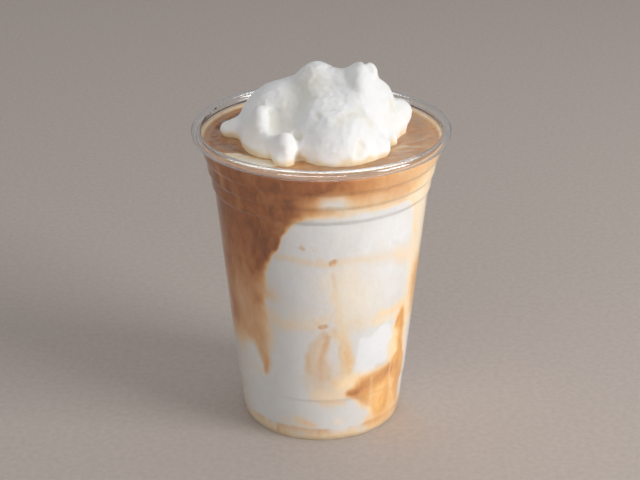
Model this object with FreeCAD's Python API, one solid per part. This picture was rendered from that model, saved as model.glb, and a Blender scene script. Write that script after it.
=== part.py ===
import FreeCAD, Part
import math
import os

from FreeCAD import Vector

# Iced coconut coffee in a clear cup, millimetres, +Z up, origin at the centre of the cup's foot.
# Four pieces: a thermoformed clear cup with a curled lip and stacking shoulders, a layer of coconut
# slush, the coffee poured over it, and a heaped scoop of coconut slush that floats in the coffee.

# ---- Cup: overall sizes
RIM_DIAMETER = 98.0
CUP_HEIGHT = 120.0
FOOT_DIAMETER = 61.8         # outside of the flat ring that the cup stands on
WALL = 0.5

# ---- Cup: lip
CURL_DIAMETER = 3.8          # the lip's outward curl, measured over its outside
CURL_SWEEP = 285.0           # degrees of curl, from the inner wall over the top and back under
NECK_LENGTH = 1.0            # straight wall below the curl
NECK_FLARE = 0.95            # how far the wall opens out between the top shoulder and the neck

# ---- Cup: base
FOOT_WIDTH = 2.5             # of the flat ring
RECESS_HEIGHT = 3.2          # of the raised floor inside the ring
RECESS_LEAN = 1.7            # how far the side of that recess leans in
HEEL_HEIGHT = 5.0            # where the bevelled foot meets the side
HEEL_FLARE = 0.9             # how far the bevel opens out

# ---- Cup: side, straight from the heel to the lowest shoulder but for one fine step
LOWER_RING_HEIGHT = 18.6     # of that step
LOWER_RING_STEP = 0.35
LOWER_RING_RISE = 0.7
SHOULDER_DROPS = (23.6, 17.4, 11.2)    # from the top of the lip down to the foot of each shoulder
SHOULDER_STEP = 0.95         # how far each shoulder stands out
SHOULDER_RISE = 1.5          # the height that a shoulder takes to do so
BAND_TAPER = 0.5             # how much each band between shoulders widens

CORNER_FILLET = 1.0
SHOULDER_FILLET = 0.8
NECK_FILLET = 3.0

# ---- Drink
FILL_DEPTH = 5.1             # from the top of the lip down to the coffee
LAYER_BASE = 60.0            # height of the coconut layer away from its swells
# swells of the coconut layer: x, y of the centre, height, spread
LAYER_SWELLS = (
    (10.0, -36.0, 45.0, 19.0),
    (36.0, -4.0, 34.0, 18.0),
    (-6.0, 34.0, 18.0, 16.0),
    (-36.0, -12.0, -14.0, 15.0),
    (0.0, 0.0, 12.0, 16.0),
)
LAYER_GRID = 15              # points along each side of the layer's surface
LAYER_CLEARANCE = 1.5        # coffee left between the layer and the scoop

# ---- Scoop: soft lobes run together, heights measured from the coffee's level
# lobes: x, y and height of the middle, then the half sizes along X, Y and Z
SCOOP_LOBES = (
    (-1.3, 4.0, 13.0, 11.2, 13.0, 14.8),       # main crest
    (-9.2, 5.0, 3.5, 22.0, 16.5, 17.6),        # body with the long slope on the left
    (14.3, -0.5, 13.0, 7.0, 11.0, 16.4),       # second crest
    (18.5, 0.0, 25.0, 2.2, 3.0, 2.6),          # knob on the second crest
    (7.0, 1.0, 12.5, 8.0, 10.0, 12.8),         # saddle
    (19.2, 1.5, 9.2, 8.8, 11.5, 13.2),         # right shoulder
    (22.5, 3.0, 0.0, 9.6, 12.5, 8.0),          # right foot
    (-21.5, -3.0, 2.0, 9.3, 15.0, 10.5),       # left flank
    (-22.4, -11.0, 8.0, 3.6, 6.5, 8.8),        # upright fold on the left flank
    (-10.5, -8.0, 3.5, 10.5, 13.0, 11.5),      # slope between the fold and the bulge
    (1.5, -7.0, 7.0, 13.0, 13.0, 13.0),        # face under the crests
    (5.0, -13.0, 2.0, 17.0, 18.0, 15.0),       # front bulge
    (10.5, -7.0, 8.0, 11.0, 12.0, 13.0),       # front of the second crest
    (14.8, -16.2, 0.0, 7.6, 10.0, 9.0),        # front right foot
    (-18.0, -14.5, 1.0, 8.0, 8.0, 8.0),        # front left foot
    (-12.6, -24.0, 2.0, 4.2, 6.8, 8.8),        # front left flap
    (0.0, 12.0, 2.0, 26.0, 16.0, 11.0),        # back
    (-32.8, 2.5, 2.0, 6.0, 4.6, 4.2),          # left lump
    (28.3, 9.0, 6.5, 6.8, 6.0, 5.4),           # right lump
)
LOBE_BLEND = 1.1             # softness of the creases between lobes
SCOOP_MIDDLE = (-2.0, 4.0)   # x and y of the point that the skin is measured from, under the main crest
SCOOP_DRAUGHT = 6.0          # how deep the scoop floats
SCOOP_COLUMNS = 128
SCOOP_ROWS = 65
SCOOP_CAP_RADIUS = 0.8       # of the small level spots at the scoop's top and bottom
SCOOP_GAP = 6.2              # from the lobe that stands furthest out to the cup's wall
REACH_STEP = 1.0             # in searching for the scoop's surface
TINY = 1e-12                 # keeps a division or a logarithm from zero

# ---- Derived sizes
CURL_RADIUS = CURL_DIAMETER / 2
CURL_CENTRE_RADIUS = RIM_DIAMETER / 2 - CURL_RADIUS
CURL_CENTRE_HEIGHT = CUP_HEIGHT - CURL_RADIUS
MOUTH_RADIUS = CURL_CENTRE_RADIUS - CURL_RADIUS      # inside of the straight neck
NECK_RADIUS = MOUTH_RADIUS + WALL
NECK_HEIGHT = CUP_HEIGHT - CURL_DIAMETER - NECK_LENGTH
FOOT_RADIUS = FOOT_DIAMETER / 2
RECESS_RADIUS = FOOT_RADIUS - FOOT_WIDTH - RECESS_LEAN
HEEL_RADIUS = FOOT_RADIUS + HEEL_FLARE
BANDS_WIDEN = len(SHOULDER_DROPS) * SHOULDER_STEP + (len(SHOULDER_DROPS) - 1) * BAND_TAPER
SIDE_TOP_RADIUS = NECK_RADIUS - NECK_FLARE - BANDS_WIDEN
SIDE_TOP_HEIGHT = CUP_HEIGHT - SHOULDER_DROPS[0]
FILL_LEVEL = CUP_HEIGHT - FILL_DEPTH


def side_radius(height):
    """Outside radius of the tapered side, on the straight line below the fine step."""
    share = (height - HEEL_HEIGHT) / (SIDE_TOP_HEIGHT - HEEL_HEIGHT)
    return HEEL_RADIUS + share * (SIDE_TOP_RADIUS - LOWER_RING_STEP - HEEL_RADIUS)


def wall_corners():
    """Corners (radius, height, fillet) of the cup's outside, from the middle of the floor to the curl."""
    ring_top = LOWER_RING_HEIGHT + LOWER_RING_RISE
    corners = [
        (0.0, RECESS_HEIGHT, 0.0),
        (RECESS_RADIUS, RECESS_HEIGHT, CORNER_FILLET),
        (FOOT_RADIUS - FOOT_WIDTH, 0.0, CORNER_FILLET),
        (FOOT_RADIUS, 0.0, CORNER_FILLET),
        (HEEL_RADIUS, HEEL_HEIGHT, CORNER_FILLET),
        (side_radius(LOWER_RING_HEIGHT), LOWER_RING_HEIGHT, 0.0),
        (side_radius(ring_top) + LOWER_RING_STEP, ring_top, 0.0),
    ]
    radius = SIDE_TOP_RADIUS
    for drop in SHOULDER_DROPS:
        corners.append((radius, CUP_HEIGHT - drop, SHOULDER_FILLET))
        radius += SHOULDER_STEP
        corners.append((radius, CUP_HEIGHT - drop + SHOULDER_RISE, SHOULDER_FILLET))
        radius += BAND_TAPER
    corners.append((NECK_RADIUS, NECK_HEIGHT, NECK_FILLET))
    corners.append((NECK_RADIUS, CURL_CENTRE_HEIGHT, 0.0))
    return corners


def inset(corners, distance):
    """The same corners moved inwards by a distance, towards the axis and up off the floor."""
    moved = []
    for i, (radius, height, fillet) in enumerate(corners):
        before = corners[max(i - 1, 0)]
        after = corners[min(i + 1, len(corners) - 1)]
        ways = []
        for start, end in ((before, corners[i]), (corners[i], after)):
            dr, dz = end[0] - start[0], end[1] - start[1]
            if math.hypot(dr, dz) > 0:
                ways.append((dr / math.hypot(dr, dz), dz / math.hypot(dr, dz)))
        (ar, az), (br, bz) = ways[0], ways[-1]
        normal_r, normal_z = -(az + bz), ar + br
        scale = distance / (1 + ar * br + az * bz)
        turn = ar * bz - az * br
        if fillet:
            fillet += -distance if turn > 0 else distance
        moved.append((radius + normal_r * scale, height + normal_z * scale, fillet))
    return moved


def point(radius, height):
    return Vector(radius, 0, height)


def rounded_path(corners):
    """Edges along the corners, each corner rounded by its fillet."""
    edges = []
    here = point(*corners[0][:2])
    for i in range(1, len(corners) - 1):
        corner = point(*corners[i][:2])
        fillet = corners[i][2]
        if fillet <= 0:
            edges.append(Part.LineSegment(here, corner).toShape())
            here = corner
            continue
        back = (point(*corners[i - 1][:2]) - corner).normalize()
        on = (point(*corners[i + 1][:2]) - corner).normalize()
        half = back.getAngle(on) / 2
        start = corner + back * (fillet / math.tan(half))
        end = corner + on * (fillet / math.tan(half))
        centre = corner + (back + on).normalize() * (fillet / math.sin(half))
        middle = centre + (corner - centre).normalize() * fillet
        edges.append(Part.LineSegment(here, start).toShape())
        edges.append(Part.Arc(start, middle, end).toShape())
        here = end
    edges.append(Part.LineSegment(here, point(*corners[-1][:2])).toShape())
    return edges


def curl_arc(radius, from_angle, to_angle):
    """An arc of the lip's curl, by its angles in degrees about the curl's middle."""
    points = []
    for angle in (from_angle, (from_angle + to_angle) / 2, to_angle):
        across = radius * math.cos(math.radians(angle))
        up = radius * math.sin(math.radians(angle))
        points.append(point(CURL_CENTRE_RADIUS + across, CURL_CENTRE_HEIGHT + up))
    return Part.Arc(*points).toShape()


def revolve(edges):
    wire = Part.Wire(Part.__sortEdges__(edges))
    return Part.Face(wire).revolve(Vector(0, 0, 0), Vector(0, 0, 1), 360)


def line(start, end):
    return Part.LineSegment(start, end).toShape()


def make_cup():
    outside = wall_corners()
    inside = inset(outside, WALL)
    start = 180.0                # the curl begins on its side nearest the axis
    over = curl_arc(CURL_RADIUS, start, start - CURL_SWEEP)
    under = curl_arc(CURL_RADIUS - WALL, start, start - CURL_SWEEP)
    lip = line(over.valueAt(over.LastParameter), under.valueAt(under.LastParameter))
    floor = line(point(0, RECESS_HEIGHT), point(0, RECESS_HEIGHT + WALL))
    return revolve(rounded_path(outside) + rounded_path(inside) + [over, under, lip, floor])


def make_filling():
    """All that is in the cup, up to the coffee's level."""
    inside = inset(wall_corners(), WALL)
    top_radius, top_height = inside[-1][:2]
    edges = rounded_path(inside)
    edges.append(line(point(top_radius, top_height), point(0, top_height)))
    edges.append(line(point(0, top_height), point(0, inside[0][1])))
    brimful = revolve(edges)
    width = 2 * RIM_DIAMETER
    above = Part.makeBox(width, width, CUP_HEIGHT, Vector(-width / 2, -width / 2, FILL_LEVEL))
    return brimful.cut(above)


def layer_height(x, y):
    """Height of the coconut layer's surface, held below the scoop."""
    height = LAYER_BASE
    for swell_x, swell_y, rise, spread in LAYER_SWELLS:
        height += rise * math.exp(-((x - swell_x) ** 2 + (y - swell_y) ** 2) / (2 * spread**2))
    return min(height, FILL_LEVEL - SCOOP_DRAUGHT - LAYER_CLEARANCE)


def make_below_layer():
    """A block whose top is the wavy surface of the coconut layer."""
    step = RIM_DIAMETER / (LAYER_GRID - 1)
    places = [i * step - RIM_DIAMETER / 2 for i in range(LAYER_GRID)]
    surface = Part.BSplineSurface()
    surface.interpolate([[Vector(x, y, layer_height(x, y)) for y in places] for x in places])
    return surface.toShape().extrude(Vector(0, 0, -2 * CUP_HEIGHT))


def spread_across(lobe):
    """A lobe with its place and half sizes along X and Y fitted to the cup's mouth."""
    x, y, height, half_x, half_y, half_z = lobe
    return x * SPREAD, y * SPREAD, height, half_x * SPREAD, half_y * SPREAD, half_z


SCOOP_REACH = max(math.hypot(x, y) + max(half_x, half_y) for x, y, _, half_x, half_y, _ in SCOOP_LOBES)
SPREAD = (MOUTH_RADIUS - SCOOP_GAP) / SCOOP_REACH
FITTED_LOBES = [spread_across(lobe) for lobe in SCOOP_LOBES]
FITTED_MIDDLE = [SCOOP_MIDDLE[0] * SPREAD, SCOOP_MIDDLE[1] * SPREAD]


def lobe_distance(place, lobe):
    """About how far a place lies outside one lobe, negative inside it."""
    middle, half_sizes = lobe[:3], lobe[3:]
    offset = [(p - m) / half for p, m, half in zip(place, middle, half_sizes)]
    near = math.hypot(*offset)
    slope = math.hypot(*(o / half for o, half in zip(offset, half_sizes)))
    return near * (near - 1) / max(slope, TINY)


def scoop_distance(place):
    """About how far a place lies outside all lobes run together and cut level at the draught."""
    total = sum(math.exp(-lobe_distance(place, lobe) / LOBE_BLEND) for lobe in FITTED_LOBES)
    return max(-LOBE_BLEND * math.log(max(total, TINY)), -SCOOP_DRAUGHT - place[2])


def skin_place(azimuth, elevation, distance):
    """The place at a distance from the scoop's middle in a direction, in radians."""
    across = distance * math.cos(elevation)
    x = FITTED_MIDDLE[0] + across * math.cos(azimuth)
    y = FITTED_MIDDLE[1] + across * math.sin(azimuth)
    return x, y, distance * math.sin(elevation)


def scoop_reach(azimuth, elevation):
    """Distance from the scoop's middle to its surface in a direction."""
    outside = RIM_DIAMETER / 2
    while scoop_distance(skin_place(azimuth, elevation, outside)) > 0:
        outside -= REACH_STEP
    inside, outside = outside, outside + REACH_STEP
    while outside - inside > REACH_STEP / 100:
        half_way = (inside + outside) / 2
        if scoop_distance(skin_place(azimuth, elevation, half_way)) > 0:
            outside = half_way
        else:
            inside = half_way
    return inside


def ring_of_points(elevation):
    """One closed ring of the scoop's control points; the first and last rings are small and level."""
    at_end = math.cos(elevation) < TINY
    row = []
    for i in range(SCOOP_COLUMNS):
        azimuth = 2 * math.pi * i / SCOOP_COLUMNS
        x, y, height = skin_place(azimuth, elevation, scoop_reach(azimuth, elevation))
        if at_end:
            x = FITTED_MIDDLE[0] + SCOOP_CAP_RADIUS * math.cos(azimuth)
            y = FITTED_MIDDLE[1] + SCOOP_CAP_RADIUS * math.sin(azimuth)
        row.append(Vector(x, y, FILL_LEVEL + height))
    return row


def make_scoop():
    """A smooth skin over a grid of directions from the middle, with a small level cap at each end."""
    elevations = [math.pi * (j / (SCOOP_ROWS - 1) - 0.5) for j in range(SCOOP_ROWS)]
    spans = SCOOP_ROWS - 3
    skin = Part.BSplineSurface()
    skin.buildFromPolesMultsKnots(
        [ring_of_points(elevation) for elevation in elevations],
        [4] + [1] * (spans - 1) + [4],
        [1] * (SCOOP_COLUMNS + 1),
        list(range(spans + 1)),
        list(range(SCOOP_COLUMNS + 1)),
        False,
        True,
        3,
        3,
    )
    side = skin.toShape()
    level = [edge for edge in side.Edges if edge.BoundBox.ZLength < SCOOP_CAP_RADIUS / 100]
    rings = [edge for edge in level if edge.isClosed()]
    caps = [Part.Face(Part.Wire([ring])) for ring in rings]
    shell = Part.makeShell([side] + caps)
    shell.sewShape()
    return Part.Solid(shell)


def main():
    cup = make_cup()
    scoop = make_scoop()
    filling = make_filling()
    below = make_below_layer()
    pieces = {
        "cup": cup,
        "coconut_layer": filling.common(below),
        "coffee_layer": filling.cut(below).cut(scoop),
        "coconut_scoop": scoop,
    }
    os.makedirs("parts", exist_ok=True)
    for name, piece in pieces.items():
        piece.exportStep(f"parts/{name}.step")
        print(name, "valid" if piece.isValid() else "NOT VALID", "solids", len(piece.Solids),
              "volume %.1f ml" % (piece.Volume / 1000))


main()
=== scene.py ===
import math

import bpy
import numpy as np
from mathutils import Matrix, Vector, noise
from mathutils.bvhtree import BVHTree


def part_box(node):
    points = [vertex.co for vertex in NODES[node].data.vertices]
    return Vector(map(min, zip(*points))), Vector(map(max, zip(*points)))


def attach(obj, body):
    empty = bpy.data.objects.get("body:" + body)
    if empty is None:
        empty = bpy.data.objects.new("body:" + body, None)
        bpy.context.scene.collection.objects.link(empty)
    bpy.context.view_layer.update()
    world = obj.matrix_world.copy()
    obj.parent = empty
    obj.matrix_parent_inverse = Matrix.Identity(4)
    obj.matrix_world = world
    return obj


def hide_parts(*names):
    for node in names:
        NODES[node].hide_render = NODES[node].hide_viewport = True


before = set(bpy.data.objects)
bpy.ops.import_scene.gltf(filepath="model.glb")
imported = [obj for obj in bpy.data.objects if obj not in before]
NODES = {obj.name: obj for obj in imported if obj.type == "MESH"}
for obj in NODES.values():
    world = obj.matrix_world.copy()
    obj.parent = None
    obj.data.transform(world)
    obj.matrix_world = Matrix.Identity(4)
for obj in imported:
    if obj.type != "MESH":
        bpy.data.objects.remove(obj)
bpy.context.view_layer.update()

# Looks of an iced coconut coffee: a clear cup, a drink of white coconut slush marbled with milky
# coffee, and a heaped scoop of slush. Lengths are metres. In the lists of patches, angles round the
# cup are degrees from its front, positive to the right, and heights and widths are millimetres.

MM = 0.001
SCOOP_DRAUGHT = 6.0 * MM       # how deep the scoop's foot lies under the coffee's level
FILL_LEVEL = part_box("coconut_scoop")[0].z + SCOOP_DRAUGHT
WALL = 0.5 * MM                # of the cup
ARC_PER_DEGREE = 0.7           # millimetres along the wall for one degree, at middle height

# The drink's mesh
COLUMNS = 400                  # points round each ring
FLOOR_RINGS = 40               # rings over the cup's floor, which hardly show
HEEL_TOP = 5.6 * MM            # height where those end and the wall's rings begin
RING_SPACING = 0.7 * MM        # of the rings up the wall
FILM_CLIMB = 1.6 * MM          # how far the coffee's film reaches up the wall

SCOOP_VOXEL = 0.5 * MM         # fineness of the scoop's mesh

FLOOR_HALF_WIDTH = 3.0         # metres
WORLD_COLOUR = (0.97, 0.98, 1.0, 1.0)
WORLD_STRENGTH = 0.33
LIGHT_TARGET = (0, 0, 80 * MM)
# name, place, width and height in metres, power in watts
SOFT_LIGHTS = (
    ("key", (0.90, -0.42, 0.46), (0.5, 0.5), 6.9),
    ("front", (-0.60, -0.90, 0.55), (0.9, 0.6), 1.2),
    ("over", (0.0, 0.35, 1.10), (0.9, 0.25), 1.0),
)
# The same, seen in glossy reflections alone: they draw the bright lines on the rim.
STRIP_LIGHTS = (
    ("low_strip", (-0.2, -1.5, 0.40), (1.6, 0.35), 13.0),
    ("high_strip", (0.0, 0.40, 1.30), (1.8, 0.5), 17.0),
)

CAMERA_LENS = 86.57            # millimetres, on a 36 mm sensor
CAMERA_SENSOR = 36.0
CAMERA_ELEVATION = 24.73       # degrees above the level
CAMERA_DISTANCE = 0.598
CAMERA_TARGET = (-0.55 * MM, 0, 72.0 * MM)

noise.seed_set(5)              # without it noise_vector starts from the clock


# ---------------------------------------------------------------- Colours and node helpers
def srgb(red, green, blue):
    """A linear colour from display values of 0 to 255."""
    parts = [value / 255 for value in (red, green, blue)]
    parts = [p / 12.92 if p <= 0.04045 else ((p + 0.055) / 1.055) ** 2.4 for p in parts]
    return (*parts, 1.0)


class Tree:
    """Short calls to build a material's nodes."""

    def __init__(self, name):
        self.material = bpy.data.materials.new(name)
        self.material.use_nodes = True
        self.nodes = self.material.node_tree.nodes
        self.links = self.material.node_tree.links
        self.nodes.clear()
        self.output = self.nodes.new("ShaderNodeOutputMaterial")

    def node(self, kind, inputs=None, **settings):
        node = self.nodes.new(kind)
        for key, value in settings.items():
            setattr(node, key, value)
        for key, value in (inputs or {}).items():
            self.feed(node.inputs[key], value)
        return node

    def feed(self, socket, value):
        if isinstance(value, bpy.types.NodeSocket):
            self.links.new(value, socket)
        else:
            socket.default_value = value

    def math(self, operation, first, second=0.0, clamp=False):
        node = self.node("ShaderNodeMath", operation=operation, use_clamp=clamp)
        self.feed(node.inputs[0], first)
        self.feed(node.inputs[1], second)
        return node.outputs[0]

    def mix(self, share, first, second):
        node = self.node("ShaderNodeMix", data_type="RGBA")
        self.feed(node.inputs[0], share)
        self.feed(node.inputs[6], first)
        self.feed(node.inputs[7], second)
        return node.outputs[2]

    def attribute(self, name):
        return self.node("ShaderNodeAttribute", attribute_name=name).outputs["Fac"]

    def place(self, scale=(1.0, 1.0, 1.0)):
        """Position on the object in millimetres, stretched along the axes."""
        where = self.node("ShaderNodeTexCoord").outputs["Object"]
        mapping = self.node("ShaderNodeMapping", {"Vector": where})
        mapping.inputs["Scale"].default_value = [s / MM for s in scale]
        return mapping.outputs["Vector"]

    def noise(self, scale, detail=2.0, where=None, roughness=0.5, distortion=0.0):
        """Cloudy noise whose patches are about 1 / scale millimetres across."""
        inputs = {"Vector": where or self.place(), "Scale": scale, "Detail": detail}
        inputs.update({"Roughness": roughness, "Distortion": distortion})
        return self.node("ShaderNodeTexNoise", inputs).outputs["Fac"]

    def band(self, value, low, high, to_low=0.0, to_high=1.0):
        node = self.node("ShaderNodeMapRange", interpolation_type="SMOOTHSTEP")
        names = ("Value", "From Min", "From Max", "To Min", "To Max")
        for key, number in zip(names, (value, low, high, to_low, to_high)):
            self.feed(node.inputs[key], number)
        return node.outputs["Result"]

    def ramp(self, value, stops):
        node = self.node("ShaderNodeValToRGB", {"Fac": value})
        points = node.color_ramp.elements
        while len(points) < len(stops):
            points.new(1.0)
        for point, (position, colour) in zip(points, stops):
            point.position = position
            point.color = colour
        return node.outputs["Color"]

    def bump(self, height, distance, strength=1.0, under=None):
        node = self.node("ShaderNodeBump", {"Height": height})
        node.inputs["Strength"].default_value = strength
        node.inputs["Distance"].default_value = distance
        if under is not None:
            self.feed(node.inputs["Normal"], under)
        return node.outputs["Normal"]

    def show(self, shader):
        self.links.new(shader, self.output.inputs["Surface"])
        return self.material


# ---------------------------------------------------------------- Materials
def clear_plastic():
    """The cup's clear PET. Shadow rays pass, so that the drink behind it is lit."""
    tree = Tree("clear_plastic")
    wavy = tree.noise(0.05, 1.0, tree.place((1.0, 1.0, 0.35)))
    shader = tree.node("ShaderNodeBsdfPrincipled", {
        "Base Color": (1.0, 1.0, 1.0, 1.0),
        "Roughness": 0.03,
        "IOR": 1.55,
        "Transmission Weight": 1.0,
        "Normal": tree.bump(wavy, 0.25 * MM, 0.35),
    })
    lamps = tree.node("ShaderNodeLightPath").outputs["Is Shadow Ray"]
    clear = tree.node("ShaderNodeBsdfTransparent", {"Color": (0.96, 0.96, 0.96, 1.0)})
    mixed = tree.node("ShaderNodeMixShader", {"Fac": lamps})
    tree.links.new(shader.outputs[0], mixed.inputs[1])
    tree.links.new(clear.outputs[0], mixed.inputs[2])
    return tree.show(mixed.outputs[0])


TONES = (
    (0.00, srgb(226, 225, 225)),
    (0.08, srgb(218, 215, 212)),
    (0.18, srgb(218, 206, 193)),
    (0.38, srgb(216, 190, 162)),
    (0.60, srgb(210, 165, 126)),
    (0.80, srgb(188, 133, 87)),
    (0.90, srgb(168, 105, 62)),
    (1.00, srgb(116, 80, 58)),
)
AMBERS = (
    (0.00, srgb(252, 242, 222)),
    (0.25, srgb(248, 220, 172)),
    (0.45, srgb(233, 182, 106)),
    (0.70, srgb(210, 147, 76)),
    (1.00, srgb(170, 102, 48)),
)


def marbled_drink():
    """Coffee in coconut: the tone runs from white slush to dark coffee, and amber warms it."""
    tree = Tree("marbled_drink")
    drawn = tree.place((1.0, 1.0, 0.55))
    wisps = tree.noise(0.22, 5.0, drawn, 0.6, 0.6)
    fine = tree.noise(1.1, 3.0, drawn, 0.6)
    drift = tree.math("MULTIPLY", tree.math("SUBTRACT", wisps, 0.5), tree.attribute("unrest"))
    grain = tree.math("MULTIPLY", tree.math("SUBTRACT", fine, 0.5), 0.07)
    tone = tree.math("ADD", tree.math("ADD", tree.attribute("tone"), drift), grain)
    colour = tree.mix(tree.attribute("amber"), tree.ramp(tone, TONES), tree.ramp(tone, AMBERS))
    froth = tree.band(tree.noise(0.30, 4.0, None, 0.6), 0.42, 0.62, 0.10, 0.60)
    froth = tree.math("MULTIPLY", froth, tree.attribute("open_top"))
    froth = tree.math("MULTIPLY", froth, tree.band(tone, 0.35, 0.60, 0.0, 1.0))
    colour = tree.mix(froth, colour, srgb(182, 160, 142))
    ripples = tree.noise(0.35, 3.0, None, 0.5, 0.4)
    shader = tree.node("ShaderNodeBsdfPrincipled", {
        "Base Color": colour,
        "Roughness": tree.band(tree.attribute("open_top"), 0.0, 1.0, 0.45, 0.22),
        "IOR": 1.35,
        "Subsurface Weight": 0.12,
        "Subsurface Radius": (1.0, 0.6, 0.4),
        "Subsurface Scale": 2.0 * MM,
        "Normal": tree.bump(ripples, 0.25 * MM, 0.6),
    })
    return tree.show(shader.outputs[0])


def coconut_slush():
    """The scoop: white, with painted shade of a yellow-grey in its hollows, and creamier where it stands in
    the coffee.
    """
    tree = Tree("coconut_slush")
    blotches = tree.noise(0.12, 3.0)
    colour = tree.ramp(blotches, ((0.3, srgb(250, 249, 246)), (0.7, srgb(254, 254, 253))))
    # painted shade: the hollows, where strokes push in, are tinted a yellow-grey
    shade = tree.math("MULTIPLY", tree.attribute("hollow_shade"), 0.35)
    colour = tree.mix(shade, colour, srgb(232, 224, 198))
    colour = tree.mix(tree.attribute("soaked"), colour, srgb(240, 222, 186))
    grains = tree.noise(1.2, 3.0, None, 0.5)
    lumps = tree.noise(0.4, 2.0)
    shader = tree.node("ShaderNodeBsdfPrincipled", {
        "Base Color": colour,
        "Roughness": tree.band(grains, 0.3, 0.7, 0.42, 0.6),
        "IOR": 1.33,
        "Subsurface Weight": 0.35,
        "Subsurface Radius": (1.0, 0.9, 0.75),
        "Subsurface Scale": 3.0 * MM,
        "Normal": tree.bump(grains, 0.08 * MM, 0.3, tree.bump(lumps, 0.3 * MM, 0.3)),
    })
    return tree.show(shader.outputs[0])


def pale_floor():
    """A plain pale floor, nearly matt."""
    tree = Tree("pale_floor")
    speckle = tree.noise(0.4, 4.0, None, 0.6)
    colour = tree.ramp(speckle, ((0.35, srgb(198, 186, 178)), (0.65, srgb(206, 194, 186))))
    shader = tree.node("ShaderNodeBsdfPrincipled", {
        "Base Color": colour,
        "Roughness": 0.9,
        "Specular IOR Level": 0.1,
    })
    return tree.show(shader.outputs[0])


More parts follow.
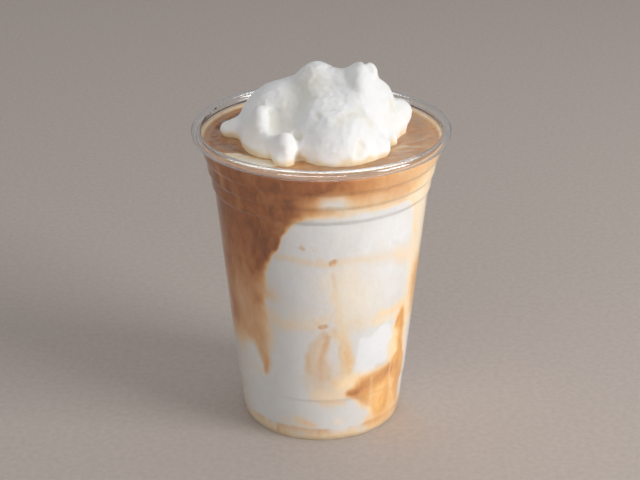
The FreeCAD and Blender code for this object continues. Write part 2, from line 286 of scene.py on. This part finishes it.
# ---------------------------------------------------------------- Painting the marbling
# A patch is (points, tone, amber, opacity, edge). Points with two numbers are the corners of an area,
# and points with three are a stroke with its half width. edge is how soft the border is. Later patches
# lie over earlier ones. Tone 0 is white slush and 1 dark coffee, and amber 1 is golden.
WALL_PATCHES = (
    # coffee above the slush: dark at the left, milky towards the right
    (((-165, 118), (90, 118), (90, 50), (40, 60), (-60, 41), (-98, 44), (-116, 52), (-134, 66),
      (-150, 84), (-165, 96)), 0.89, 0.10, 1.0, 5.0),
    (((-46, 95, 8.0), (-36, 86, 6.0)), 0.94, 0.05, 0.7, 6.0),
    (((-25, 112, 3.0), (16, 112, 3.0)), 0.92, 0.15, 0.6, 3.0),
    (((-50, 99, 3.0), (-40, 101, 2.0)), 0.84, 0.30, 0.6, 3.0),
    # a paler upright streak at the upper left: painted highlight
    (((-58, 112, 1.4), (-57, 106, 1.4)), 0.60, 0.10, 0.6, 2.2),
    (((-94, 90, 8.0), (-88, 60, 9.0)), 0.72, 0.35, 0.85, 8.0),
    (((-50, 70, 8.0), (-42, 66, 6.0)), 0.76, 0.05, 0.9, 6.0),
    (((-54, 57, 7.0), (-48, 47, 6.0)), 0.40, 0.10, 0.95, 5.0),
    (((-82, 56, 6.0), (-70, 46, 6.0)), 0.58, 0.15, 0.85, 6.0),
    (((-67, 76, 2.0), (-66, 48, 2.6)), 0.82, 0.45, 0.7, 3.0),
    (((18, 119), (104, 119), (98, 104), (86, 99), (18, 100)), 0.54, 0.25, 0.85, 5.0),
    (((40, 114, 3.0), (95, 112, 5.0)), 0.34, 0.45, 0.8, 4.0),
    (((8, 109), (46, 109), (46, 102), (10, 102)), 0.42, 0.15, 0.8, 2.0),
    # a thin darker line along the cup's shoulder: painted shade
    (((-20, 108.6, 0.5), (45, 108.8, 0.5)), 0.74, 0.30, 0.5, 0.8),
    (((14, 102, 1.4), (60, 103, 2.2)), 0.22, 0.40, 0.8, 1.8),
    (((54, 112), (84, 113), (97, 106), (103, 92), (99, 78), (90, 66), (56, 72)), 0.24, 0.60, 0.9, 4.0),
    # the slush: a crisp upper mass, and a softer lower one
    (((-130, 35), (-52, 36), (-40, 30), (-40, 4), (-130, 4)), 0.10, 0.15, 1.0, 5.5),
    (((-26, 83), (-31, 78), (-34, 73), (-35, 66), (-36, 58), (-35, 50), (-33, 42), (-30, 36), (-34, 28),
      (-42, 27), (-48, 26), (-60, 20), (-60, 4), (64, 4), (62, 40), (63, 56),
      (64, 68), (61, 80), (40, 84), (0, 84)), 0.08, 0.0, 1.0, 2.6),
    (((-8, 100.5), (-14, 97.5), (-18, 94), (-21, 90), (-22.5, 85), (-25.5, 82.5), (-29, 79), (-20, 72),
      (20, 70), (50, 74), (60, 80), (58, 94), (50, 100.5), (30, 101.5), (8, 101)), 0.07, 0.0, 1.0, 1.0),
    # a paler soft patch where the light falls on the right: painted light
    (((24, 95), (54, 95), (56, 74), (26, 66)), 0.02, 0.0, 0.85, 9.0),
    # the small white patch above it in its warm halo
    (((-7, 104, 1.8), (-3, 104.5, 2.0)), 0.50, 0.7, 0.8, 2.5),
    (((2.0, 105, 2.4), (9.5, 105.4, 2.7)), 0.02, 0.0, 1.0, 1.6),
    # faint seams and streaks in the upper slush
    (((-24, 81.5, 1.0), (0, 80.8, 1.2), (22, 81.2, 1.0), (42, 79, 1.8), (54, 76, 2.8)),
     0.24, 0.25, 0.75, 1.7),
    (((15, 76, 5.0), (22, 62, 5.0)), 0.14, 0.50, 0.6, 7.0),
    (((4, 74, 4.0), (14, 66, 5.0)), 0.12, 0.45, 0.6, 5.0),
    (((5, 76, 0.8), (8, 70, 0.7)), 0.24, 0.10, 0.7, 1.2),
    (((8, 68, 0.7), (10, 58, 1.0), (13, 50, 1.3), (16, 41, 1.8), (17, 34, 1.6)), 0.26, 0.45, 0.8, 1.6),
    (((-37, 66, 2.5), (-30, 64, 1.8)), 0.42, 0.35, 0.8, 3.0),
    (((-36, 57, 2.5), (-24, 53, 2.0), (-6, 54, 2.0), (4, 57, 1.5)), 0.24, 0.45, 0.7, 4.0),
    (((43, 85, 0.7), (45, 83, 0.6)), 0.20, 0.0, 0.6, 0.8),
    (((47, 86, 1.5), (54, 87, 1.9)), 0.0, 0.0, 0.9, 1.0),
    (((47, 79, 1.8), (58, 77, 2.4)), 0.24, 0.55, 0.6, 2.6),
    # right flank: cream, peach and light orange
    (((46, 104), (62, 104), (66, 92), (60, 90), (52, 97)), 0.12, 0.50, 0.8, 2.2),
    (((60, 106), (84, 107), (94, 98), (97, 84), (88, 72), (64, 68), (60, 84)), 0.14, 0.60, 0.85, 3.0),
    (((72, 92, 2.5), (72, 76, 2.5)), 0.06, 0.55, 0.7, 3.0),
    (((58, 74), (66, 74), (66, 42), (58, 42)), 0.08, 0.40, 0.9, 2.0),
    (((67, 69), (80, 73), (92, 68), (99, 57), (93, 46), (84, 49), (74, 44), (67, 50)), 0.42, 0.80, 0.9, 3.4),
    # band of orange and tan between the lower masses
    (((20, 53, 1.8), (36, 52.5, 1.8)), 0.24, 0.30, 0.75, 2.2),
    (((38, 55, 1.1), (57, 55, 1.2)), 0.34, 0.85, 0.85, 1.2),
    (((34, 51.6, 1.5), (52, 52, 1.5)), 0.20, 0.60, 0.6, 1.6),
    (((40, 58.2, 1.2), (50, 59, 1.0)), 0.13, 0.0, 0.7, 1.2),
    # tan swirls low in the middle
    (((2, 50, 1.5), (-3, 44, 3.2), (-6, 36, 3.2), (-5, 29, 2.8)), 0.35, 0.04, 0.8, 2.6),
    (((8, 51, 1.5), (14, 44, 2.3), (17, 36, 2.4), (14, 28, 2.5)), 0.35, 0.35, 0.8, 2.4),
    (((2, 44, 3.0), (-1, 36, 4.0), (6, 28, 4.0), (2, 24, 3.0)), 0.26, 0.20, 0.75, 3.0),
    (((4, 49, 1.2), (2, 42, 1.4), (-1, 36, 1.2), (-1, 31, 0.8)), 0.54, 0.0, 0.75, 1.6),
    (((-8, 40, 0.8), (-9, 33, 1.0)), 0.46, 0.1, 0.6, 1.5),
    (((6.5, 47, 0.7), (6, 40, 0.9), (8, 32, 0.8)), 0.10, 0.0, 0.7, 1.2),
    (((3, 38, 0.6), (4, 31, 0.7)), 0.44, 0.0, 0.6, 1.0),
    (((11, 44, 0.6), (12.5, 34, 0.6)), 0.46, 0.2, 0.5, 1.0),
    (((15, 41, 1.0), (17, 32, 1.0)), 0.42, 0.6, 0.6, 1.4),
    (((8, 28, 0.7), (13, 25.5, 0.9), (16, 27, 0.8)), 0.38, 0.75, 0.7, 1.0),
    (((-5, 22, 1.8), (6, 21, 2.4), (15, 22, 2.0)), 0.22, 0.65, 0.8, 1.8),
    (((0, 18.2, 0.6), (16, 18.2, 0.7)), 0.34, 0.55, 0.7, 1.0),
    # bright slush at the right, with coffee round and under it
    (((52, 52), (68, 52), (68, 28), (60, 26), (50, 30), (46, 34), (48, 42)), 0.24, 0.85, 0.9, 2.0),
    (((24, 47), (30, 46), (36, 48.5), (42, 50), (46, 48.5), (48, 43), (45, 38), (47, 34), (42, 31.5),
      (38, 29), (33, 28), (26, 29.5), (20.5, 30), (22, 38)), 0.0, 0.0, 1.0, 0.8),
    (((57, 52, 1.6), (55, 48, 2.6), (59, 43, 2.0), (58, 38, 2.2), (61, 32, 2.4)), 0.56, 0.90, 0.95, 1.2),
    (((58, 50, 0.8), (60, 44, 0.9)), 0.74, 0.7, 0.6, 1.0),
    (((52, 41, 0.6), (58, 40, 0.9)), 0.38, 0.95, 0.8, 0.8),
    (((50, 46, 0.5), (55, 47, 0.8)), 0.36, 0.95, 0.7, 0.8),
    (((67, 42, 1.8), (68, 32, 2.2), (74, 28, 2.4)), 0.10, 0.6, 0.85, 1.6),
    (((12, 29.5), (20, 30.5), (30, 29), (29, 26.2), (20, 23.8), (10, 24.2)), 0.22, 0.80, 0.85, 1.2),
    (((17, 22.5), (22, 24.5), (28, 27), (34, 28.8), (42, 29.8), (50, 31), (60, 34), (68, 30), (70, 20),
      (69, 8), (46, 5.5), (38, 8), (35, 11), (31, 14), (25, 18), (20, 20.5)), 0.50, 0.90, 0.92, 1.2),
    (((18.5, 22.2, 0.9), (25, 23.2, 2.0), (33, 25, 2.4), (42, 26.5, 2.4), (50, 27, 2.6)),
     0.72, 0.40, 0.9, 1.6),
    (((19, 22, 0.8), (23, 21.8, 1.3)), 0.84, 0.10, 0.9, 1.2),
    (((25, 19.5, 0.9), (31, 15.5, 1.1)), 0.62, 0.25, 0.8, 1.2),
    (((39, 19, 1.8), (43, 11, 1.8)), 0.34, 0.98, 0.85, 2.0),
    (((34.5, 27, 0.5), (34.5, 15, 0.5)), 0.24, 0.35, 0.7, 0.7),
    (((50, 31, 0.6), (51, 22, 0.6)), 0.26, 0.45, 0.7, 0.8),
    (((54, 19, 2.5), (56, 9, 2.5)), 0.24, 0.85, 0.7, 2.2),
    (((58, 27, 2.4), (64, 20, 2.6)), 0.66, 0.7, 0.8, 2.2),
    (((44, 20, 1.2), (47, 12, 1.6)), 0.34, 1.0, 0.8, 1.6),
    (((52, 17, 0.8), (50, 9, 1.0)), 0.70, 0.7, 0.6, 1.2),
    (((39, 31.3, 0.8), (46, 31.6, 0.8)), 0.26, 0.05, 0.7, 0.8),
    # finger of coffee down the left
    (((-50, 44, 1.6), (-42, 45, 2.4), (-41, 38, 2.2), (-38, 33, 2.3), (-38, 29.5, 1.4)),
     0.58, 0.25, 0.9, 1.8),
    (((-38, 36, 1.0), (-37, 31, 1.2)), 0.56, 0.60, 0.6, 1.4),
    (((-47, 29, 1.0), (-42, 27, 0.8)), 0.22, 0.30, 0.5, 2.0),
    # smudges and the heel
    (((-16, 9, 0.7), (-12, 7.9, 1.0), (-4, 7, 0.6)), 0.46, 0.65, 0.8, 1.2),
    (((-30, 8, 0.8), (-17, 8, 0.8)), 0.20, 0.50, 0.5, 2.0),
    (((11, 9.6, 0.8), (13, 9.2, 0.8)), 0.18, 0.70, 0.7, 1.0),
    (((-180, 0), (180, 0), (180, 4.6), (-180, 4.6)), 0.32, 0.50, 0.8, 1.0),
    (((36, 5, 3.0), (80, 5, 3.0)), 0.46, 0.75, 0.8, 2.0),
    # a thin darker line all round at the heel's ring: painted shade
    (((-180, 5.1, 0.35), (180, 5.1, 0.35)), 0.66, 0.0, 0.6, 0.45),
    (((-20, 2.6, 0.9), (-14, 2.6, 0.9)), 0.06, 0.0, 0.7, 1.2),
    (((27, 2.6, 1.0), (33, 2.8, 1.0)), 0.06, 0.0, 0.7, 1.2),
    (((-34, 3.2, 0.4), (-32, 2.6, 0.4)), 0.60, 0.0, 0.7, 0.6),
    # specks and bubbles against the wall
    (((-10.8, 86.8, 0.6), (-9.8, 86.0, 0.6)), 0.52, 0.0, 0.8, 0.7),
    (((-10.5, 88.2, 0.2), (-10.5, 88.0, 0.2)), 0.34, 0.0, 0.6, 0.5),
    (((-4.2, 86.2, 0.2), (-2.2, 86.2, 0.3)), 0.30, 0.0, 0.6, 0.6),
    (((-1.5, 82.8, 0.6), (0.5, 82.4, 0.5)), 0.26, 0.1, 0.6, 1.0),
    (((4.9, 81.2, 0.9), (6.4, 81.3, 0.9)), 0.60, 0.0, 0.9, 0.5),
    (((5.2, 80.7, 0.3), (6.2, 80.7, 0.3)), 0.24, 0.4, 0.8, 0.4),
    (((-0.5, 53.6, 0.8), (2.6, 53.6, 0.9)), 0.56, 0.0, 0.9, 0.6),
    (((0.3, 53.8, 0.3), (1.8, 53.8, 0.3)), 0.30, 0.0, 0.7, 0.5),
    (((-4, 56, 0.4), (-3, 57.5, 0.4)), 0.22, 0.0, 0.6, 0.8),
    # the hidden side: milk rising into the coffee, and coffee running down into the slush
    (((-150, 80, 4.0), (-158, 92, 3.0), (-150, 104, 1.5)), 0.40, 0.25, 0.8, 4.0),
    (((-120, 62, 3.0), (-112, 76, 2.5), (-118, 90, 1.5)), 0.46, 0.20, 0.7, 4.0),
    (((-104, 47, 2.0), (-108, 36, 1.6), (-104, 26, 0.8)), 0.62, 0.45, 0.8, 2.2),
    (((-138, 66, 2.5), (-134, 50, 2.0), (-140, 36, 1.2)), 0.55, 0.40, 0.8, 3.0),
    (((-168, 84, 2.5), (-166, 66, 2.0), (-170, 52, 1.0)), 0.48, 0.40, 0.7, 3.0),
    (((166, 88, 3.0), (158, 72, 3.0), (162, 56, 1.5), (158, 44, 0.8)), 0.56, 0.40, 0.85, 3.0),
    (((128, 96, 3.0), (138, 104, 2.0), (150, 108, 1.0)), 0.34, 0.30, 0.8, 3.5),
    (((112, 90, 2.0), (118, 76, 3.5), (114, 60, 2.5), (122, 46, 1.0)), 0.44, 0.65, 0.85, 3.5),
    (((104, 40, 2.0), (112, 30, 3.0), (126, 26, 1.5)), 0.30, 0.75, 0.75, 3.0),
    (((136, 60, 3.0), (144, 48, 2.0)), 0.20, 0.50, 0.6, 5.0),
    (((-152, 24, 3.0), (-130, 18, 2.0), (-116, 20, 1.0)), 0.26, 0.50, 0.7, 3.5),
    (((150, 22, 2.5), (166, 16, 2.0)), 0.28, 0.60, 0.6, 3.5),
)
# The same on the open top, with x and y in millimetres from the cup's axis.
TOP_PATCHES = (
    (((-30, 40, 14), (-44, 12, 10)), 0.97, 0.0, 0.9, 8.0),
    (((-44, 2, 5), (-40, -14, 4)), 0.90, 0.0, 0.8, 4.0),
    (((-38, -4, 2.5), (-34, -12, 3), (-28, -16, 3)), 0.95, 0.20, 0.85, 3.0),
    (((-36, -17), (-30, -17), (-24, -20), (-17, -25), (-14, -29), (-20, -31), (-28, -27), (-34, -22)),
     0.03, 0.85, 1.0, 0.7),
    (((-34, -18.5, 0.6), (-24, -22, 0.9), (-17, -27, 0.7)), 0.24, 1.0, 0.7, 1.2),
    (((-10, -30, 1.5), (-6, -31.5, 1.5)), 0.62, 0.9, 0.8, 2.0),
    (((14, -38, 6), (44, -10, 6)), 0.64, 0.0, 0.6, 6.0),
    (((26, -15, 2.0), (29, -11, 2.0)), 0.42, 0.4, 0.7, 2.0),
    (((27, -11.5, 0.5), (31, -10.0, 0.8), (36, -10.8, 0.5)), 0.26, 0.0, 0.85, 0.8),
    (((29, -15, 0.4), (34, -13.4, 0.7), (39, -9, 0.4)), 0.30, 0.0, 0.75, 0.8),
    (((31, -7.0, 0.4), (36, -5, 0.6), (41, 1, 0.4)), 0.34, 0.0, 0.7, 1.0),
    (((29, -12.6, 0.4), (36, -12.4, 0.5)), 0.84, 0.0, 0.6, 0.8),
    (((23, -22, 0.5), (28, -21, 0.7), (33, -18, 0.5)), 0.36, 0.1, 0.7, 1.0),
)


def segments(points, closed):
    """The lines from point to point, and back to the first where the outline is closed."""
    ends = points[1:] + points[:1] if closed else points[1:]
    return zip(points, ends)


def past_border(x, y, points):
    """Distance in millimetres past a patch's border, negative inside."""
    area = len(points[0]) == 2
    best = np.full(x.shape, 1e9)
    inside = np.zeros(x.shape, bool)
    for start, end in segments(points, area):
        run = (end[0] - start[0], end[1] - start[1])
        length = max(run[0] ** 2 + run[1] ** 2, 1e-9)
        along = np.clip(((x - start[0]) * run[0] + (y - start[1]) * run[1]) / length, 0, 1)
        apart = np.hypot(x - start[0] - along * run[0], y - start[1] - along * run[1])
        if area:
            crosses = (start[1] > y) != (end[1] > y)
            inside ^= crosses & (x < start[0] + (y - start[1]) * run[0] / (run[1] or 1e-9))
        else:
            apart = apart - (start[2] + along * (end[2] - start[2]))
        best = np.minimum(best, apart)
    return np.where(inside, -best, best) if area else best


def smooth(value):
    """0 below 0 and 1 above 1, with a soft step between."""
    value = np.clip(value, 0, 1)
    return value * value * (3 - 2 * value)


def paint(x, y, patches, tone, amber, stretch=1.0, softness=1.0):
    """Lays the patches over tone and amber, in place. Areas get a warm seam where milk meets coffee."""
    for points, patch_tone, patch_amber, opacity, edge in patches:
        spread = tuple((point[0] * stretch, *point[1:]) for point in points)
        cover = opacity * smooth(0.5 - past_border(x, y, spread) / (2 * edge * softness))
        contrast = np.minimum(np.abs(patch_tone - tone), 0.6)
        tone += (patch_tone - tone) * cover
        amber += (patch_amber - amber) * cover
        if len(points[0]) == 2:
            amber += 4 * cover * (1 - cover) * contrast * (0.75 - amber)


def wander(points, scale, amplitude, seed):
    """A smooth random shift of each point, in millimetres."""
    offset = Vector((seed, 2.3 * seed, -1.7 * seed))
    shifts = [noise.noise_vector(Vector(point) * scale + offset) for point in points]
    return amplitude * np.array(shifts)


# ---------------------------------------------------------------- Drink
def tree_of(node):
    """A search tree over a node's mesh, for rays and nearest points."""
    mesh = NODES[node].data
    corners = [vertex.co for vertex in mesh.vertices]
    return BVHTree.FromPolygons(corners, [polygon.vertices[:] for polygon in mesh.polygons])


def cup_inside():
    """The cup's inner profile as (radius, height) from the middle of its floor to the coffee."""
    cup = tree_of("cup")
    outwards = Vector((1, 0.001, 0))
    down = Vector((0, 0, -1))
    profile = []
    heel_radius = cup.ray_cast(Vector((0, 0, HEEL_TOP)), outwards)[0].x
    for step in range(FLOOR_RINGS):
        radius = heel_radius * (step / FLOOR_RINGS) ** 0.6
        floor = cup.ray_cast(Vector((radius + 1e-6, 1e-5, 20 * MM)), down)[0]
        profile.append((radius, floor.z))
    height = HEEL_TOP
    while height < FILL_LEVEL + FILM_CLIMB:
        wall = cup.ray_cast(Vector((0, 0, height)), outwards)[0]
        profile.append((wall.x, height))
        height += RING_SPACING
    return profile


def pushed_out(profile, distance):
    """The profile moved into the wall, so that no air is left between drink and cup."""
    points = np.array(profile)
    run = np.gradient(points, axis=0)
    normals = np.stack([run[:, 1], -run[:, 0]], 1)
    normals /= np.linalg.norm(normals, axis=1)[:, None]
    moved = points + distance * normals
    moved[0, 0] = 0
    return moved


def top_height(radius, edge_radius, angle):
    """The coffee's surface: slight ripples, and a film that climbs the wall."""
    from_wall = (edge_radius - radius) / MM
    film = 1.5 * math.exp(-from_wall / 0.7)
    where = Vector((radius * math.cos(angle), radius * math.sin(angle), 0)) / MM
    ripple = 0.35 * noise.noise(where * 0.09) + 0.12 * noise.noise(where * 0.3)
    return FILL_LEVEL + MM * (film + ripple * min(from_wall / 4, 1))


def top_rings(edge_radius):
    """How far in from the wall the top's rings lie, in millimetres: fine at the wall, 1 mm apart over
    the open coffee, and coarse where the scoop hides it."""
    return np.concatenate([
        np.arange(0.25, 3, 0.25),
        np.arange(3, 26, 1.0),
        np.linspace(26, edge_radius / MM - 0.8, 11),
    ])


def make_drink():
    """Slush and coffee as one closed mesh: rings over the floor, up the wall and in over the top."""
    wall = pushed_out(cup_inside(), WALL / 2)
    edge_radius = wall[-1][0]
    rings = [(radius, height, False) for radius, height in wall[1:]]
    rings += [(edge_radius - inward * MM, None, True) for inward in top_rings(edge_radius)]
    vertices = [(0.0, 0.0, wall[0][1])]
    for radius, height, top in rings:
        for column in range(COLUMNS):
            angle = 2 * math.pi * column / COLUMNS
            level = top_height(radius, edge_radius, angle) if top else height
            vertices.append((radius * math.cos(angle), radius * math.sin(angle), level))
    vertices.append((0.0, 0.0, FILL_LEVEL))
    faces = []
    for column in range(COLUMNS):
        after = (column + 1) % COLUMNS
        faces.append((0, 1 + after, 1 + column))
        for ring in range(len(rings) - 1):
            low = 1 + ring * COLUMNS
            high = low + COLUMNS
            faces.append((low + column, low + after, high + after, high + column))
        last = 1 + (len(rings) - 1) * COLUMNS
        faces.append((last + column, last + after, len(vertices) - 1))
    is_top = [False] + [top for *_, top in rings for _ in range(COLUMNS)] + [True]
    piece = new_piece("drink", vertices, faces)
    marble(piece, np.array(is_top))
    piece.data.materials.append(marbled_drink())
    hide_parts("coffee_layer", "coconut_layer")
    return piece


def wall_colours(points, shift):
    """Tone and amber from the layers behind the wall, with the wall's patches laid over them."""
    slush = tree_of("coconut_layer")
    layer = np.array([slush_height(slush, point) for point in points])
    over = points[:, 2] + 2 * shift[:, 2] - layer
    tone = 0.03 + 0.82 * smooth(0.5 + over / 4)
    amber = 0.25 * smooth(1 - np.abs(over) / 8)
    angle = np.degrees(np.arctan2(points[:, 0], -points[:, 1]))
    arc = angle * ARC_PER_DEGREE + shift[:, 0]
    height = points[:, 2] + shift[:, 1]
    softness = 0.6 + 1.8 * smooth(0.5 + wander(points, 0.06, 1.6, 21)[:, 0])
    paint(arc, height, WALL_PATCHES, tone, amber, ARC_PER_DEGREE, softness)
    return tone, amber


def top_colours(points, shift, is_top):
    """Tone and amber of the open coffee: patches, a halo round the scoop, and rings at the wall."""
    tone = np.full(len(points), 0.72)
    amber = np.zeros(len(points))
    paint(points[:, 0] + shift[:, 0], points[:, 1] + shift[:, 1], TOP_PATCHES, tone, amber)
    scoop = tree_of("coconut_scoop")
    apart = np.full(len(points), 99.0)
    for index in np.flatnonzero(is_top):
        apart[index] = scoop.find_nearest(Vector(points[index]) * MM)[3] / MM
    edge = np.abs(points[is_top][:, 0]).max()
    from_wall = edge - np.hypot(points[:, 0], points[:, 1])
    halo = 0.7 * smooth(1 - (apart + shift[:, 2]) / 2.4)
    groove = 0.6 * smooth(1 - np.abs(from_wall - 2.4) / 1.6)
    cream = smooth(1 - from_wall / 1.6)
    # share of the new colour, its tone and its amber
    for share, new_tone, new_amber in ((halo, 0.72, 0.75), (groove, 0.66, 0.6), (cream, 0.16, 0.7)):
        tone += (new_tone - tone) * share
        amber += (new_amber - amber) * share
    return tone, amber


def marble(piece, is_top):
    """Stores tone, amber, unrest and open_top for every point of the drink."""
    points = np.array([vertex.co[:] for vertex in piece.data.vertices]) / MM
    shift = wander(points, 0.10, 1.0, 3) + wander(points, 0.33, 0.6, 9)
    wall_tone, wall_amber = wall_colours(points, shift)
    top_tone, top_amber = top_colours(points, shift, is_top)
    tone = np.where(is_top, top_tone, wall_tone)
    amber = np.where(is_top, top_amber, wall_amber)
    unrest = np.where(is_top, 0.55, 0.10 + 0.30 * smooth(tone / 0.5))
    for name, values in (("tone", tone), ("amber", amber), ("unrest", unrest), ("open_top", is_top)):
        store(piece.data, name, values)


def slush_height(slush, point):
    """Height of the slush layer's top under or over a point, a little inside the wall."""
    radius = max(math.hypot(point[0], point[1]), 1e-6)
    inner = max(radius - 1.5, 0) / radius
    hit = slush.ray_cast(Vector((point[0] * inner, point[1] * inner, 118)) * MM, Vector((0, 0, -1)))[0]
    return hit.z / MM if hit else 0.0


# ---------------------------------------------------------------- Scoop
def make_scoop():
    """The scoop's solid as an even, fine mesh, with its folds and grains added."""
    rough = bpy.data.objects.new("rough_scoop", NODES["coconut_scoop"].data.copy())
    bpy.context.collection.objects.link(rough)
    modifier = rough.modifiers.new("even", "REMESH")
    modifier.mode = "VOXEL"
    modifier.voxel_size = SCOOP_VOXEL
    mesh = bpy.data.meshes.new_from_object(rough.evaluated_get(bpy.context.evaluated_depsgraph_get()))
    bpy.data.objects.remove(rough)
    piece = bpy.data.objects.new("scoop", mesh)
    bpy.context.collection.objects.link(piece)
    for polygon in mesh.polygons:
        polygon.use_smooth = True
    roughen(mesh)
    mesh.materials.clear()
    mesh.materials.append(coconut_slush())
    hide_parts("coconut_scoop")
    return piece


# Strokes pushed in or out of the scoop: points (x, y, height over the coffee), half width and push.
SCOOP_STROKES = (
    # over the bulge
    (((-2.0, -19.0, 14.8), (5.0, -21.6, 14.8), (10.2, -21.2, 14.5), (15.8, -18.9, 12.9)), 3.2, 0.7),
    # small pit
    (((-1.4, -19.6, 15.0), (-1.0, -20.2, 14.4)), 1.0, -0.35),
    # soft hollows from the second crest to the left and to the right
    (((13.2, -16.5, 16.2), (9.8, -20.4, 15.3), (6.9, -23.0, 14.3)), 2.0, -0.45),
    (((13.2, -16.5, 16.2), (15.8, -17.3, 14.0), (17.5, -17.6, 12.0)), 1.6, -0.25),
    # furrow low on the right
    (((14.5, -26.8, 7.0), (13.4, -28.6, 3.6)), 1.4, -0.9),
    # join between the front and the right foot
    (((21.5, -18.5, 2.0), (24.0, -14.0, 2.0), (26.5, -10.0, 2.5)), 2.6, 2.6),
    # foot of the right lump
    (((29.5, -5.0, 0.0), (33.0, 0.0, 0.5)), 2.4, -2.0),
    # lip, side and broad top of the flap, and the shadow beside it
    (((-17.1, -20.8, 8.8), (-12.9, -25.4, 9.8), (-9.9, -24.4, 8.9)), 1.3, 0.8),
    (((-17.4, -22.7, 5.3), (-16.4, -27.0, 2.0)), 2.2, 1.6),
    (((-18.0, -20.5, 7.0), (-14.5, -25.0, 7.5)), 2.2, 1.1),
    (((-8.8, -22.5, 8.5), (-8.2, -26.5, 0.5)), 1.5, -1.8),
    # upright fold, the groove beside it and the hollow over the flap
    (((-21.2, -13.5, 14.5), (-21.6, -16.8, 7.5)), 2.2, 0.9),
    (((-17.6, -9.5, 14.5), (-16.6, -18.0, 8.2)), 1.6, -1.1),
    (((-13.3, -15.9, 12.2), (-12.3, -19.8, 9.8)), 3.0, -1.3),
    # ridge below the crests, and the hollow under the main crest
    (((10.3, 3.4, 26.0), (4.9, -4.0, 23.8), (-2.3, -9.1, 19.7), (-6.8, -13.3, 15.5), (-7.7, -18.6, 11.7)),
     3.2, 0.6),
    (((-4.0, -4.0, 22.0), (-11.0, -9.0, 17.0)), 5.5, -1.2),
    # notch by the right lump
    (((26.8, -3.2, 13.2), (27.5, 3.0, 11.0)), 1.6, -1.3),
    # notch by the knob, and the knob
    (((15.9, 0.5, 28.0), (16.0, 2.5, 28.0)), 0.8, -0.8),
    (((18.5, 0.0, 28.0), (18.7, -1.0, 27.0)), 1.4, 0.9),
)


def near_stroke(points, path):
    """Distance of every point from a path in space, in millimetres."""
    best = np.full(len(points), 1e9)
    for start, end in zip(path, path[1:]):
        start, run = np.array(start), np.subtract(end, start)
        along = np.clip((points - start) @ run / max(run @ run, 1e-9), 0, 1)
        best = np.minimum(best, np.linalg.norm(points - start - along[:, None] * run, axis=1))
    return best


def roughen(mesh):
    """Adds the slush's folds, creases, lumps and grains, and stores the hollows, for painted shade, and the
    soaked edges.
    """
    points = np.array([vertex.co[:] for vertex in mesh.vertices]) / MM
    normals = np.array([vertex.normal[:] for vertex in mesh.vertices])
    over = points - (0, 0, FILL_LEVEL / MM)
    bent = over + wander(over, 0.22, 0.9, 13)
    push = np.zeros(len(points))
    hollow_shade = np.zeros(len(points))
    for path, half_width, depth in SCOOP_STROKES:
        share = smooth(1.2 - near_stroke(bent, path) / (1.8 * half_width))
        push += depth * share
        if depth < 0:
            # pushed-in strokes mark the hollows that get painted shade
            hollow_shade = np.maximum(hollow_shade, share)
    lumps = [noise.fractal(Vector(point) * 0.15, 0.9, 2.0, 3) for point in points]
    grains = [noise.fractal(Vector(point) * 0.6, 0.9, 2.0, 2) for point in points]
    push += 0.40 * (np.array(lumps) - 0.3) + 0.07 * np.array(grains)
    moved = points + push[:, None] * normals
    moved[:, 2] = np.minimum(moved[:, 2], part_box("coconut_scoop")[1].z / MM)
    mesh.vertices.foreach_set("co", (moved * MM).ravel().astype(np.float32))
    soak = wander(points, 0.25, 1.0, 5)[:, 0]
    soaked = smooth(1 - (over[:, 2] - 0.3 + 1.6 * soak) / 3.0)
    store(mesh, "soaked", soaked)
    store(mesh, "hollow_shade", hollow_shade)
    mesh.update()


def store(mesh, name, values):
    """Keeps one number for each point, for the materials to read."""
    layer = mesh.attributes.new(name, "FLOAT", "POINT")
    layer.data.foreach_set("value", np.asarray(values, np.float32))


def new_piece(name, vertices, faces):
    """A smooth-shaded object from points and faces."""
    mesh = bpy.data.meshes.new(name)
    mesh.from_pydata(vertices, [], faces)
    mesh.update()
    for polygon in mesh.polygons:
        polygon.use_smooth = True
    piece = bpy.data.objects.new(name, mesh)
    bpy.context.collection.objects.link(piece)
    return piece


# ---------------------------------------------------------------- Cup, floor, light and camera
def finish_cup():
    """Dresses the cup's own solid: smooth, but for its sharp edges, and clear."""
    cup = NODES["cup"].data
    for polygon in cup.polygons:
        polygon.use_smooth = True
    cup.set_sharp_from_angle(angle=math.radians(50))
    cup.materials.clear()
    cup.materials.append(clear_plastic())


def make_floor():
    half = FLOOR_HALF_WIDTH
    corners = [(-half, -half, 0), (half, -half, 0), (half, half, 0), (-half, half, 0)]
    floor = new_piece("floor", corners, [(0, 1, 2, 3)])
    floor.data.materials.append(pale_floor())


def add_light(name, place, size, power):
    """A rectangular light that points at the drink."""
    data = bpy.data.lights.new(name, "AREA")
    data.shape = "RECTANGLE"
    data.size, data.size_y = size
    data.energy = power
    light = bpy.data.objects.new(name, data)
    light.location = place
    light.rotation_euler = (Vector(LIGHT_TARGET) - Vector(place)).to_track_quat("-Z", "Y").to_euler()
    bpy.context.collection.objects.link(light)
    return light


def light_scene():
    world = bpy.data.worlds.new("studio")
    world.use_nodes = True
    background = world.node_tree.nodes["Background"]
    background.inputs["Color"].default_value = WORLD_COLOUR
    background.inputs["Strength"].default_value = WORLD_STRENGTH
    bpy.context.scene.world = world
    for light in SOFT_LIGHTS:
        add_light(*light)
    for light in STRIP_LIGHTS:
        add_light(*light).visible_diffuse = False
    bpy.context.scene.view_settings.view_transform = "Standard"


def add_camera():
    data = bpy.data.cameras.new("camera")
    data.sensor_width = CAMERA_SENSOR
    data.lens = CAMERA_LENS
    camera = bpy.data.objects.new("camera", data)
    elevation = math.radians(CAMERA_ELEVATION)
    away = Vector((0, -math.cos(elevation), math.sin(elevation)))
    camera.location = Vector(CAMERA_TARGET) + CAMERA_DISTANCE * away
    camera.rotation_euler = (math.pi / 2 - elevation, 0, 0)
    bpy.context.collection.objects.link(camera)
    bpy.context.scene.camera = camera


add_camera()
finish_cup()
for made in (make_drink(), make_scoop()):
    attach(made, "root")
make_floor()
light_scene()
